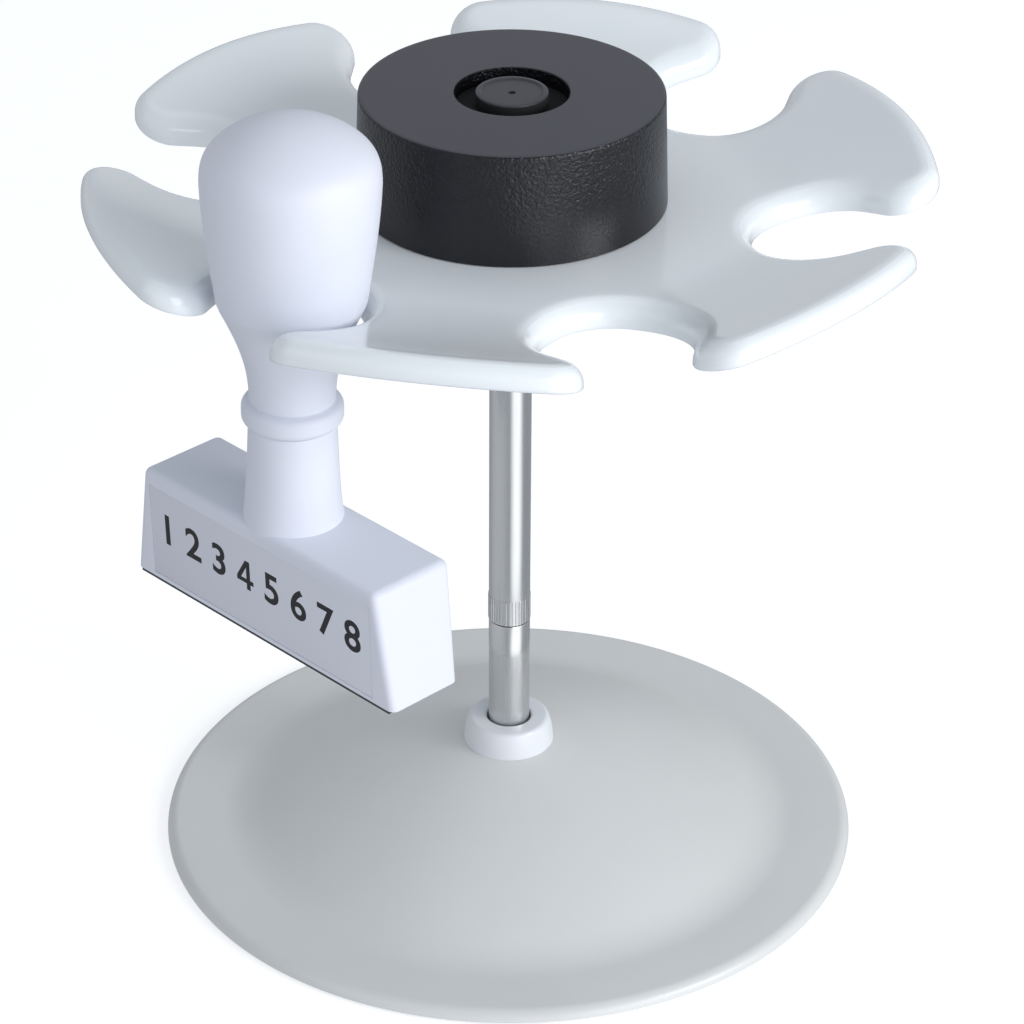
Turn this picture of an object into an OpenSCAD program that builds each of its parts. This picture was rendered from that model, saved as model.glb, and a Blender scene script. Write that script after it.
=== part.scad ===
// Desk carousel for hand stamps: a domed foot, a steel rod and a dished plate with six
// key-shaped slots that turns on the rod. One stamp hangs in a slot by its bulb handle.
// Z is up, the origin is on the desk at the rod's axis, all sizes are in millimetres.

/* [Foot] */
// Diameter of the foot over its rim
foot_d = 135.6; // [124:0.2:150]
// Radius of the foot's rounded rim
rim_round = 2.3; // [1.8:0.1:2.4]
// Height of the flat band behind the rim
band_z = 2.6; // [2.5:0.1:3.4]
// Width of the flat band
band_w = 13.0; // [8:0.1:16]
// Height of the flat top of the dome
dome_z = 19.2; // [17:0.1:24]
// How far the dome bulges over a straight cone
dome_bulge = 1.7; // [0.4:0.1:3]
// Wall of the foot shell
foot_wall = 2.4; // [1.8:0.1:2.6]
// Height of the foot's edge over the desk
edge_gap = 0.4; // [0.2:0.1:0.6]
// Thickness of the non-slip ring
pad_t = 1.0; // [0.9:0.05:1.2]
// Width of the non-slip ring
pad_w = 17.6; // [15:0.1:19]
// Thickness of the cover under the dome
cover_t = 1.4; // [1:0.1:1.8]
// Radius of the raised centre of the cover
cover_cup_r = 12.0; // [10.5:0.1:14]
// Height of the collar at the foot of the rod
collar_h = 5.3; // [3:0.1:9]
// Diameter of the collar at its top
collar_d = 16.8; // [14:0.1:19]
// How much wider the collar is at its base
collar_flare = 0.4; // [0.4:0.1:2]
// Outer radius of the iron weight
weight_r = 39.0; // [32:0.5:41]

/* [Rod] */
// Diameter of the steel rod
rod_d = 8.0; // [7:0.1:9]
// Height at which the two rod lengths meet
rod_split_z = 46.9; // [38:0.1:60]
// Height of the knurled band
knurl_h = 5.6; // [4:0.1:8]
// Number of ridges round the knurled band
knurl_n = 36; // [24:2:48]
// Diameter of the stud that joins the rod lengths
stud_d = 5.0; // [4:0.1:5.4]
// How far the stud reaches into each rod length
stud_reach = 12.0; // [8:0.5:16]
// Diameter of the screw that holds the foot
screw_d = 5.0; // [4:0.1:5.4]

/* [Plate] */
// Diameter of the slot plate
plate_d = 156.2; // [150:0.2:164]
// Height of the plate's flat centre
plate_z = 137.2; // [128:0.2:150]
// Distance along a finger at which it starts to bend up
petal_x = 44.0; // [42:0.5:50]
// Rise of a finger from the plate's centre to its lip
lip_rise = 6.7; // [4:0.1:9]
// How late the bend comes: 1 is a straight slope, 2 a curve
petal_curve = 1.6; // [1.2:0.05:2.2]
// Depth of the turned-down edge
edge_depth = 5.1; // [4.8:0.1:6.5]
// Radius that rounds the plate's edge all round
edge_round = 4.0; // [3:0.1:4.2]
// Thickness of the plate's sheet
sheet_t = 2.4; // [1.8:0.1:2.8]
// Thickness of the turned-down walls
skirt_t = 2.2; // [1.6:0.1:2.6]
// Number of slots
slot_n = 6; // [4:1:6]
// Angle of the first slot as the plate stands
slot_phase = -12.0; // [-30:0.5:30]
// Distance of a slot's pocket from the axis
pocket_r = 58.0; // [56:0.1:58.4]
// Diameter of a slot's pocket between its walls
pocket_d = 27.0; // [26.4:0.1:27.4]
// Width of a slot's neck
neck_w = 20.2; // [19.8:0.1:23]
// Radius of the corners where a slot opens
corner_r = 6.5; // [5.5:0.1:7]

/* [Hub] */
// Diameter of the hub at its foot
hub_d = 57.0; // [50:0.2:62]
// Height of the hub
hub_h = 21.2; // [18:0.1:28]
// How much narrower the hub is at its top, each side
hub_draft = 0.7; // [0.2:0.1:1.5]
// Bevel round the hub's top
hub_bevel = 0.6; // [0.3:0.1:1]
// Wall of the hub
hub_wall = 2.6; // [2:0.1:3.2]
// Outer diameter of the groove in the hub's top
groove_d = 20.8; // [19:0.1:24]
// Diameter of the hub's centre disc
disc_d = 13.2; // [11:0.1:15]
// Depth of the groove
groove_h = 1.6; // [1:0.1:2.2]
// Outer diameter of the bushes
bush_d = 12.0; // [11:0.1:13]
// Distance of the hub screws from the axis
hub_screw_r = 20.0; // [18:0.1:22]

/* [Stamp] */
// Which slot holds the stamp, counted from the first
stamp_slot = 4; // [0:1:5]
// Distance of the hanging stamp from the axis
seat_r = 56.8; // [56.4:0.1:57.4]
// Turn of the stamp in its slot
stamp_turn = -3.0; // [-20:0.5:20]
// Lean of the hanging stamp to the right
stamp_lean = 0.9; // [0:0.1:1.2]
// Largest diameter of the bulb handle
bulb_d = 31.4; // [30:0.1:33]
// Diameter of the handle's neck
neck_d = 15.4; // [14:0.1:17]
// Height of the handle over its ring
handle_h = 53.3; // [50:0.1:58]
// Diameter of the bead ring
ring_d = 18.2; // [17.4:0.1:19]
// Height of the bead ring
ring_h = 4.8; // [3.5:0.1:6]
// Height of the shaft between ring and block
shaft_h = 18.9; // [14:0.1:24]
// Diameter of the shaft where it meets the block
shaft_d = 17.4; // [16:0.1:17.8]
// Length of the block at its top
block_len = 61.4; // [54:0.2:70]
// Width of the block
block_w = 18.4; // [18:0.1:20]
// Height of the block
block_h = 23.0; // [20:0.1:28]
// How much longer the block is at its bottom, each end
block_draft = 3.8; // [1:0.1:4]
// How much narrower the block is at its bottom, each side
side_draft = 1.2; // [0.4:0.1:1.6]
// Radius of the block's edges
block_round = 1.5; // [0.8:0.1:2.2]
// Length of the index strip
label_len = 58.6; // [40:0.2:59]
// Height of the index strip
label_h = 19.0; // [12:0.1:19.4]
// Height of the block's underside over the desk
block_z = 72.2; // [66:0.1:78]
// Thickness of the rubber printing plate
die_t = 0.7; // [0.5:0.1:1.2]

/* [Hidden] */
$fn = 96;

pale = [0.87, 0.88, 0.89];
plate_grey = [0.74, 0.78, 0.82];
stamp_white = [0.86, 0.86, 0.90];
steel = [0.72, 0.73, 0.75];
hub_black = [0.10, 0.10, 0.12];

eps = 0.01;
fit = 0.05;             // running gap between rod and bushes
seat_gap = 0.10;        // gap between faces that turn on each other
snug = 0.02;            // gap between pieces that are pressed or glued together

// Foot
foot_r = foot_d / 2;
band_out_r = foot_r - rim_round;
band_in_r = band_out_r - band_w;
collar_r = collar_d / 2 + collar_flare;
under_z = pad_t;                          // underside of the shell over the pad
pad_out_r = band_out_r - 0.6;
cover_r = pad_out_r - pad_w - 0.3;
boss_r = 8.0;
cup_z = 4.2;                              // underside of the cover's raised centre
rod_foot_z = cup_z + cover_t + 0.4;
head_r = screw_d * 0.95;
head_h = 2.4;
washer_r = 7.5;
washer_t = 1.0;

// Rod
rod_r = rod_d / 2;
stud_r = stud_d / 2;
screw_r = screw_d / 2;
clip_t = 0.9;
clip_r = rod_r + 2.4;
groove_r = rod_r - 0.7;

// Plate
plate_r = plate_d / 2;
edge_steps = 6;                           // facets round the rolled edge
inner_round = edge_round - skirt_t;
wall_r = pocket_d / 2;
mouth_y = neck_w / 2 + corner_r;          // centre of the corner circle, which touches the rim
mouth_x = sqrt(pow(plate_r - corner_r, 2) - pow(mouth_y, 2));
mouth_a = atan2(mouth_y, mouth_x);
mouth_gap = sqrt(pow(mouth_x - pocket_r, 2) + pow(mouth_y, 2));
neck_a = atan2(mouth_y, mouth_x - pocket_r) + acos(min(1, (wall_r + corner_r) / mouth_gap));
tie_r = 33.6;                             // outer radius of the ring of ribs
under_plate_z = plate_z - sheet_t;
plate_boss_r = bush_d / 2 + 2.6;
plate_boss_z = plate_z - edge_depth - 0.2;
finger_step = 360 / slot_n;
washer_z = plate_boss_z - seat_gap / 2;   // top of the thrust washer
thrust_t = 0.8;
rest_clip_z = washer_z - thrust_t - seat_gap - clip_t;

// Hub
hub_r = hub_d / 2;
hub_top_z = plate_z + hub_h;
hub_top_r = hub_r - hub_draft;
hub_boss_r = groove_d / 2 + 2.4;
bush_h = 6.5;
upper_bush_z = hub_top_z - 13.0;
recess_z = upper_bush_z + bush_h;         // floor of the recess over the upper bush
top_clip_z = recess_z + seat_gap;
rod_top_z = top_clip_z + clip_t + 1.0;
hub_hole_r = 1.25;
hub_shank_r = 1.45;
hub_head_r = 2.8;
hub_head_h = 1.6;
screw_reach = 8.6;

// Stamp
block_top_z = block_z + block_h;
shaft_top_z = block_top_z + shaft_h;
handle_z = shaft_top_z + ring_h;
handle_top_z = handle_z + handle_h;
cap_r = 20.0;                             // radius of the handle's domed top
neck_r = neck_d / 2;
bulb_r = bulb_d / 2;
shaft_top_r = neck_r + 0.2;
stamp_stud_r = 2.5;
label_t = 0.6;
label_tilt = atan(side_draft / block_h);
label_z = block_z + 0.9 + label_h / 2;    // middle of the index strip
label_x = block_w / 2 - side_draft * (block_top_z - label_z) / block_h;   // front face there
cushion_t = 2.0;
die_z = block_z - die_t;
die_w = block_w - 2 * side_draft - 0.3;
die_len = block_len + 2 * block_draft - 2.4;
cushion_w = die_w - 2.4;                  // leaves a wall behind the index strip
cushion_len = die_len - 1.0;

// Points of a circular arc from angle a0 to a1
function arc(c, r, a0, a1, n) =
    [for (i = [0:n]) let (a = a0 + (a1 - a0) * i / n) [c[0] + r * cos(a), c[1] + r * sin(a)]];

// Points of a cubic curve
function curve(p, q, s, t, n) =
    [for (i = [0:n]) let (u = i / n, v = 1 - u)
        v * v * v * p + 3 * v * v * u * q + 3 * v * u * u * s + u * u * u * t];

// Height of the upper face of a finger at a distance along it; the fingers bend up like petals
function petal_z(x) = plate_z + (x <= petal_x ? 0 :
    lip_rise * pow((x - petal_x) / (plate_r - edge_round - petal_x), petal_curve));

// Height of the foot's upper face, from the band (t = 0) to the flat top (t = 1)
function dome(t) = band_z + (dome_z - band_z) * t + 4 * dome_bulge * t * (1 - t);
function dome_r(t) = band_in_r + (collar_r - band_in_r) * t;

function dome_line(drop, n) = [for (i = [0:n]) [dome_r(i / n), dome(i / n) - drop]];

module carousel() {
    rotate([0, 0, slot_phase]) children();
}

// The stamp hangs in its slot, leans a little and is turned a little
module in_slot() {
    a = slot_phase + stamp_slot * finger_step;
    translate([seat_r * cos(a), seat_r * sin(a), plate_z]) rotate([0, stamp_lean, 0])
        rotate([0, 0, a + stamp_turn]) translate([0, 0, -plate_z]) children();
}

// ---------------------------------------------------------------- foot

module foot_shell() {
    color(pale) difference() {
        union() {
            rotate_extrude() difference() {
                polygon(concat(
                    [[0, edge_gap], [foot_r - 0.9, edge_gap]],
                    arc([band_out_r, band_z - rim_round], rim_round, 8, 90, 7),
                    dome_line(0, 14),
                    [[0, dome_z]]
                ));
                // hollow under the dome, and the step that holds the pad
                polygon(concat(
                    [[0, -1], [pad_out_r + 0.2, -1], [pad_out_r + 0.2, under_z], [cover_r + 0.2, under_z]],
                    [[cover_r + 0.2, under_z + cover_t + 0.1], [band_in_r - 6, under_z + cover_t + 0.1]],
                    [for (i = [3:14]) [dome_r(i / 14), dome(i / 14) - foot_wall]],
                    [[0, dome_z - foot_wall]]
                ));
            }
            // centre boss and its webs
            translate([0, 0, cup_z + cover_t + 0.1])
                cylinder(r = boss_r, h = dome_z - 1 - cup_z - cover_t);
            foot_webs();
        }
        // bore for the rod
        translate([0, 0, -1]) cylinder(r = rod_r + snug, h = dome_z + 2);
    }
}

// Six thin webs between the boss and the dome's inner face, over the weight
module foot_webs() {
    intersection() {
        for (i = [0:5]) rotate([0, 0, 60 * i + 30]) translate([boss_r - 0.5, -0.8, dome_z - 4])
            cube([9, 1.6, 6]);
        rotate_extrude() polygon(concat(
            [[0, 0]], [[band_in_r, 0]], dome_line(1, 14), [[0, dome_z - 1]]));
    }
}

module foot_weight() {
    web_r = 18;
    top = foot_wall + 0.6;
    color([0.30, 0.31, 0.33]) rotate_extrude() polygon([
        [cover_cup_r + 1.6, under_z + cover_t + 0.3],
        [weight_r, under_z + cover_t + 0.3],
        [weight_r, dome_at(weight_r) - top],
        [(weight_r + web_r) / 2, dome_at((weight_r + web_r) / 2) - top],
        [web_r, dome_at(web_r) - top],
        [cover_cup_r + 1.6, dome_at(web_r) - top]
    ]);
}

// Height of the foot's upper face at a radius on the dome
function dome_at(r) = dome((band_in_r - r) / (band_in_r - collar_r));

module foot_cover() {
    lip = under_z + cover_t;
    color([0.55, 0.56, 0.58]) difference() {
        rotate_extrude() polygon([
            [screw_r + 0.3, cup_z], [cover_cup_r - 1.8, cup_z],
            [cover_cup_r, under_z + snug], [cover_r, under_z + snug], [cover_r, lip],
            [cover_cup_r + 1.0, lip], [cover_cup_r - 0.8, cup_z + cover_t], [screw_r + 0.3, cup_z + cover_t]
        ]);
    }
}

module foot_pad() {
    color([0.16, 0.16, 0.17]) difference() {
        cylinder(r = pad_out_r, h = pad_t - snug);
        translate([0, 0, -1]) cylinder(r = pad_out_r - pad_w, h = pad_t + 2);
    }
}

module foot_collar() {
    color([0.93, 0.93, 0.94]) rotate_extrude() polygon(concat(
        [[rod_r + 0.1, dome_z + snug], [collar_r, dome_z + snug]],
        [[collar_r - 0.5, dome_z + 1.2]],
        arc([collar_d / 2 - 0.6, dome_z + collar_h - 0.6], 0.6, 0, 90, 4),
        [[rod_r + 0.5, dome_z + collar_h], [rod_r + 0.1, dome_z + collar_h - 0.6]]
    ));
}

// ---------------------------------------------------------------- rod

module post_lower() {
    color(steel) difference() {
        union() {
            translate([0, 0, rod_foot_z + 0.5])
                cylinder(r = rod_r, h = rod_split_z - rod_foot_z - 0.5);
            translate([0, 0, rod_foot_z]) cylinder(r1 = rod_r - 0.5, r2 = rod_r, h = 0.5);
        }
        translate([0, 0, rod_foot_z - 1]) cylinder(r = screw_r - 0.4 + 0.4, h = 15);
        translate([0, 0, rod_split_z - stud_reach - 1]) cylinder(r = stud_r, h = stud_reach + 2);
    }
}

module post_upper() {
    ridge = 0.12;
    color(steel) difference() {
        union() {
            translate([0, 0, rod_split_z + snug]) cylinder(r = rod_r, h = rod_top_z - rod_split_z - 0.6);
            translate([0, 0, rod_top_z - 0.6 + snug]) cylinder(r1 = rod_r, r2 = rod_r - 0.5, h = 0.5);
            // straight knurl: ridges round the band
            translate([0, 0, rod_split_z + 0.2]) for (i = [0:knurl_n / 2 - 1])
                rotate([0, 0, i * 360 / knurl_n])
                    translate([-rod_r - ridge, -0.17, 0]) cube([2 * (rod_r + ridge), 0.34, knurl_h]);
        }
        translate([0, 0, rod_split_z - 1]) cylinder(r = stud_r, h = stud_reach + 2);
        rod_groove(rest_clip_z);
        rod_groove(top_clip_z);
    }
}

module rod_groove(z) {
    translate([0, 0, z - 0.05]) difference() {
        cylinder(r = rod_r + 1, h = clip_t + 0.1);
        translate([0, 0, -1]) cylinder(r = groove_r, h = clip_t + 2);
    }
}

module post_stud() {
    color([0.62, 0.60, 0.52]) translate([0, 0, rod_split_z - stud_reach + 0.5])
        cylinder(r = stud_r - snug, h = 2 * stud_reach - 1);
}

module foot_screw() {
    color(steel) difference() {
        union() {
            translate([0, 0, cup_z - washer_t - head_h]) cylinder(r = head_r, h = head_h - snug);
            translate([0, 0, cup_z - washer_t - 1]) cylinder(r = screw_r - snug, h = 14);
        }
        // hexagon socket
        translate([0, 0, cup_z - washer_t - head_h - 1]) cylinder(r = screw_d * 0.34, h = 2.4, $fn = 6);
    }
}

module foot_washer() {
    color(steel) translate([0, 0, cup_z - washer_t]) difference() {
        cylinder(r = washer_r, h = washer_t - snug);
        translate([0, 0, -1]) cylinder(r = screw_r + 0.2, h = washer_t + 2);
    }
}

module clip() {
    difference() {
        cylinder(r = clip_r, h = clip_t);
        translate([0, 0, -1]) cylinder(r = groove_r + 0.03, h = clip_t + 2);
        translate([0, -1.6, -1]) cube([clip_r + 1, 3.2, clip_t + 2]);
        for (a = [-1, 1]) rotate([0, 0, 120 * a]) translate([clip_r, 0, -1]) cylinder(r = 1.3, h = clip_t + 2);
    }
}

module rest_clip() {
    color([0.25, 0.25, 0.27]) translate([0, 0, rest_clip_z]) clip();
}

module top_clip() {
    color([0.25, 0.25, 0.27]) translate([0, 0, top_clip_z]) clip();
}

// ---------------------------------------------------------------- carousel

// Edge of the plate beside one slot, seen from above with the slot along X: pocket, neck,
// rounded corner, rim. Each point is [x, y] followed by its outward direction.
function slot_side() = concat(
    [for (i = [0:9]) let (a = 180 + (neck_a - 180) * i / 9)
        [pocket_r + wall_r * cos(a), wall_r * sin(a), -cos(a), -sin(a)]],
    [for (i = [0:8]) let (a = neck_a - 180 + (mouth_a - neck_a + 180) * i / 8)
        [mouth_x + corner_r * cos(a), mouth_y + corner_r * sin(a), cos(a), sin(a)]],
    [for (i = [1:5]) let (a = mouth_a + (finger_step / 2 - mouth_a) * i / 5)
        [plate_r * cos(a), plate_r * sin(a), cos(a), sin(a)]]
);

// The same edge seen with the finger along X, so a point's height follows from its x alone
side = [for (p = slot_side()) let (c = cos(finger_step / 2), s = -sin(finger_step / 2))
    [p[0] * c - p[1] * s, p[0] * s + p[1] * c, p[2] * c - p[3] * s, p[2] * s + p[3] * c]];
side_n = len(side);
edge_n = 2 * side_n - 2;                  // points that one finger adds to the plate's edge

// Point i of one finger's edge, moved inwards by inset and down by drop from the upper face
function edge_point(i, inset, drop) =
    let (m = i < side_n ? 1 : -1, p = side[i < side_n ? i : edge_n - i],
        x = p[0] - p[2] * inset, y = m * (p[1] - p[3] * inset))
    [x, y, petal_z(x) - drop];

function turned(p, a) = [p[0] * cos(a) - p[1] * sin(a), p[0] * sin(a) + p[1] * cos(a), p[2]];

// A closed line round the whole plate
function edge_ring(inset, drop) = [for (f = [0:slot_n - 1]) for (i = [0:edge_n - 1])
    turned(edge_point(i, inset, drop), (f + 0.5) * finger_step)];

// Rows from the upper face over the rounded edge, down the wall and up inside it
edge_rows = concat(
    [for (i = [0:edge_steps]) let (a = 90 * i / edge_steps)
        [edge_round * (1 - sin(a)), edge_round * (1 - cos(a))]],
    [[0, edge_depth - 0.4], [0.4, edge_depth], [skirt_t - 0.3, edge_depth], [skirt_t, edge_depth - 0.3]],
    [for (i = [3:-1:0]) let (a = 30 * i)
        [skirt_t + inner_round * (1 - sin(a)), sheet_t + inner_round * (1 - cos(a))]]
);

// The dished sheet with its rolled edge, lofted through the rows; every finger is closed
// by flat strips across it, and the middle by one flat face
module plate_shell() {
    n = slot_n * edge_n;
    rows = len(edge_rows);
    last = (rows - 1) * n;
    polyhedron(
        points = [for (r = edge_rows) each edge_ring(r[0], r[1])],
        faces = concat(
            [for (k = [0:rows - 2]) for (i = [0:n - 1]) let (j = (i + 1) % n)
                each [[k * n + i, k * n + j, (k + 1) * n + i], [k * n + j, (k + 1) * n + j, (k + 1) * n + i]]],
            [for (f = [0:slot_n - 1]) for (i = [0:side_n - 2]) strip(f, i, 0, n, false)],
            [for (f = [0:slot_n - 1]) for (i = [0:side_n - 2]) strip(f, i, last, n, true)],
            [[for (f = [slot_n - 1:-1:0]) f * edge_n]],
            [[for (f = [0:slot_n - 1]) last + f * edge_n]]
        )
    );
}

// Flat strip across finger f between the edge's points i and i + 1 and their mirror images
function strip(f, i, base, n, under) =
    let (q = [for (k = [i, i + 1, edge_n - i - 1, edge_n - i]) base + (f * edge_n + k) % n],
        u = i == side_n - 2 ? [q[0], q[1], q[3]] : q)
    under ? u : [for (k = [len(u) - 1:-1:0]) u[k]];

module slot_plate() {
    color(plate_grey) carousel() difference() {
        union() {
            plate_shell();
            translate([0, 0, plate_boss_z]) cylinder(r = plate_boss_r, h = plate_z - plate_boss_z - 0.5);
            plate_ribs();
        }
        // bore for the lower bush, and holes for the hub screws
        translate([0, 0, plate_z - 20]) cylinder(r = bush_d / 2 + snug, h = 40);
        for (i = [0:2]) rotate([0, 0, i * 120]) translate([hub_screw_r, 0, plate_z - 20])
            cylinder(r = hub_shank_r + 0.15, h = 40);
    }
}

// A rib along each finger and a ring that ties them, under the sheet
module plate_ribs() {
    rib_t = 1.6;
    rib_end = plate_r - skirt_t + 0.3;
    low = plate_z - edge_depth + 1.2;
    for (i = [0:slot_n - 1]) rotate([0, 0, (i + 0.5) * finger_step])
        translate([0, rib_t / 2, 0]) rotate([90, 0, 0]) linear_extrude(height = rib_t) polygon(concat(
            [[plate_boss_r - 1, low], [petal_x, low], [rib_end, petal_z(rib_end) - edge_depth + 1.2]],
            [for (k = [6:-1:0]) let (x = petal_x + (rib_end - petal_x) * k / 6)
                [x, petal_z(x) - sheet_t + 0.3 - (k == 6 ? 1.4 : 0)]],
            [[plate_boss_r - 1, plate_z - sheet_t + 0.3]]
        ));
    translate([0, 0, low]) difference() {
        cylinder(r = tie_r, h = plate_z - sheet_t + 0.3 - low);
        translate([0, 0, -1]) cylinder(r = tie_r - rib_t, h = 10);
    }
}

module hub_housing() {
    color(hub_black) carousel() difference() {
        union() {
            rotate_extrude() difference() {
                polygon([
                    [0, plate_z + snug], [hub_r, plate_z + snug],
                    [hub_top_r, hub_top_z - hub_bevel], [hub_top_r - hub_bevel, hub_top_z], [0, hub_top_z]
                ]);
                polygon([
                    [0, plate_z - 1], [hub_r - hub_wall, plate_z - 1],
                    [hub_top_r - hub_wall, hub_top_z - hub_wall - 1.5],
                    [hub_top_r - hub_wall - 1.5, hub_top_z - hub_wall], [0, hub_top_z - hub_wall]
                ]);
            }
            translate([0, 0, upper_bush_z]) cylinder(r = hub_boss_r, h = hub_top_z - upper_bush_z - 1);
            for (i = [0:2]) rotate([0, 0, i * 120]) {
                translate([hub_screw_r, 0, plate_z + snug]) cylinder(r = 3.4, h = hub_h - 1);
                translate([hub_boss_r - 0.5, -0.8, plate_z + 4])
                    cube([hub_top_r - hub_wall / 2 - hub_boss_r, 1.6, hub_h - 5]);
            }
        }
        translate([0, 0, upper_bush_z - 1]) cylinder(r = bush_d / 2 + snug, h = bush_h + 2);
        translate([0, 0, recess_z]) cylinder(r = groove_d / 2, h = 20);
        for (i = [0:2]) rotate([0, 0, i * 120]) translate([hub_screw_r, 0, plate_z - 1])
            cylinder(r = hub_hole_r + 0.2, h = screw_reach + 2.4);
    }
}

module hub_cap() {
    top = hub_top_z;
    floor_z = top - groove_h;
    disc_r = disc_d / 2;
    color([0.16, 0.16, 0.19]) carousel() rotate_extrude() polygon([
        [0, floor_z - 1.4], [groove_d / 2 - 2, floor_z - 1.4], [groove_d / 2 - 2, recess_z + 0.6],
        [groove_d / 2 - snug, recess_z + 0.6], [groove_d / 2 - snug, floor_z],
        [disc_r, floor_z], [disc_r, top - 0.3], [disc_r - 0.3, top], [disc_r - 0.9, top],
        [disc_r - 1.1, top - 0.3], [0, top - 0.3]
    ]);
}

module bush(h) {
    difference() {
        cylinder(r = bush_d / 2, h = h);
        translate([0, 0, -1]) cylinder(r = rod_r + fit, h = h + 2);
    }
}

module bush_lower() {
    color([0.80, 0.70, 0.45]) translate([0, 0, plate_boss_z]) bush(bush_h);
}

module bush_upper() {
    color([0.80, 0.70, 0.45]) translate([0, 0, upper_bush_z]) bush(bush_h);
}

module thrust_washer() {
    color(steel) translate([0, 0, washer_z - thrust_t]) difference() {
        cylinder(r = bush_d / 2 + 1.6, h = thrust_t);
        translate([0, 0, -1]) cylinder(r = rod_r + fit, h = thrust_t + 2);
    }
}

module hub_screw(i) {
    color(steel) carousel() rotate([0, 0, i * 120]) translate([hub_screw_r, 0, under_plate_z]) difference() {
        union() {
            translate([0, 0, -hub_head_h - snug]) cylinder(r = hub_head_r, h = hub_head_h);
            translate([0, 0, -0.5]) cylinder(r = hub_shank_r - snug, h = screw_reach + 0.5);
        }
        translate([0, 0, -hub_head_h - 1]) cylinder(r = 1.2, h = 2, $fn = 6);
    }
}

module hub_screw_1() { hub_screw(0); }
module hub_screw_2() { hub_screw(1); }
module hub_screw_3() { hub_screw(2); }

// ---------------------------------------------------------------- stamp

// Outline of the bulb handle from the neck up to the middle of its domed top
function handle_line() =
    let (
        z0 = handle_z + snug,
        top = handle_top_z,
        cap_c = top - cap_r,
        wide = z0 + 0.78 * handle_h,
        edge_a = acos((bulb_r - 0.9) / cap_r)
    )
    concat(
        [[stamp_stud_r + 0.1, z0]],
        curve([neck_r, z0], [neck_r, z0 + 6], [neck_r + 1.6, z0 + 11], [bulb_r - 2.9, z0 + 18.2], 9),
        curve([bulb_r - 2.4, z0 + 19.6], [bulb_r - 1.7, z0 + 25], [bulb_r - 0.3, wide - 8.6], [bulb_r, wide], 9),
        curve([bulb_r, wide + 1], [bulb_r, wide + 3], [bulb_r - 0.4, wide + 3.6],
            [cap_r * cos(edge_a), cap_c + cap_r * sin(edge_a)], 4),
        arc([0, cap_c], cap_r, edge_a + 3, 90, 10)
    );

module stamp_handle() {
    color(stamp_white) in_slot() rotate_extrude() polygon(concat(
        handle_line(),
        [[0, handle_z + 16], [stamp_stud_r + 0.1, handle_z + 16]]
    ));
}

module stamp_ring() {
    r = ring_d / 2;
    color(stamp_white) in_slot() rotate_extrude() polygon(concat(
        [[stamp_stud_r + 0.1, shaft_top_z + snug], [r - 1.6, shaft_top_z + snug]],
        arc([r - ring_h * 0.32, shaft_top_z + ring_h * 0.34], ring_h * 0.32, -80, 0, 5),
        arc([r - ring_h * 0.32, shaft_top_z + ring_h * 0.62], ring_h * 0.32, 0, 80, 5),
        [[r - 1.5, handle_z], [stamp_stud_r + 0.1, handle_z]]
    ));
}

// Block with rounded edges, longer at its bottom
module block_body() {
    q = block_round;
    hull() {
        for (sx = [-1, 1]) for (sy = [-1, 1]) {
            translate([sx * (block_w / 2 - q), sy * (block_len / 2 - q), block_top_z - q])
                sphere(r = q, $fn = 24);
            translate([sx * (block_w / 2 - side_draft - q * 0.5), sy * (block_len / 2 + block_draft - q * 0.5), block_z])
                cylinder(r = q * 0.5, h = 0.4, $fn = 24);
        }
    }
}

module stamp_block() {
    flare_r = block_w / 2 - 0.1;
    color(stamp_white) in_slot() difference() {
        union() {
            block_body();
            rotate_extrude() polygon(concat(
                [[0, block_top_z - 2], [flare_r, block_top_z - 2], [flare_r, block_top_z]],
                curve([flare_r - eps, block_top_z + 0.1], [shaft_d / 2, block_top_z + 1],
                    [shaft_top_r + 0.3, block_top_z + shaft_h * 0.5], [shaft_top_r, shaft_top_z], 8),
                [[0, shaft_top_z]]
            ));
        }
        // bore for the stud
        translate([0, 0, block_top_z - 10]) cylinder(r = stamp_stud_r + 0.1, h = shaft_h + 20);
        // recess for the index strip, and for the cushion over the rubber
        on_front() translate([-label_t, -label_len / 2 - 0.1, -label_h / 2 - 0.1])
            cube([5, label_len + 0.2, label_h + 0.2]);
        translate([-cushion_w / 2 - 0.1, -cushion_len / 2 - 0.1, block_z - 1])
            cube([cushion_w + 0.2, cushion_len + 0.2, cushion_t + 1]);
    }
}

// On the block's front face, which leans in towards the bottom
module on_front() {
    translate([label_x, 0, label_z]) rotate([0, label_tilt, 0]) children();
}

module stamp_stud() {
    color(steel) in_slot() translate([0, 0, block_top_z - 9.5])
        cylinder(r = stamp_stud_r, h = handle_z + 15 - block_top_z + 9.5);
}

module stamp_label() {
    color([0.80, 0.82, 0.86]) in_slot() on_front() translate([snug - label_t, -label_len / 2, -label_h / 2])
        cube([label_t - 0.1, label_len, label_h]);
}

module stamp_cushion() {
    color([0.45, 0.45, 0.47]) in_slot() translate([-cushion_w / 2, -cushion_len / 2, block_z + snug])
        cube([cushion_w, cushion_len, cushion_t - 2 * snug]);
}

module stamp_die() {
    color([0.12, 0.12, 0.13]) in_slot() translate([-die_w / 2, -die_len / 2, die_z])
        cube([die_w, die_len, die_t - snug]);
}

foot_shell();
foot_weight();
foot_cover();
foot_pad();
foot_collar();
post_lower();
post_upper();
post_stud();
foot_screw();
foot_washer();
rest_clip();
top_clip();
slot_plate();
hub_housing();
hub_cap();
bush_lower();
bush_upper();
thrust_washer();
hub_screw_1();
hub_screw_2();
hub_screw_3();
stamp_handle();
stamp_ring();
stamp_block();
stamp_stud();
stamp_label();
stamp_cushion();
stamp_die();
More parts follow.
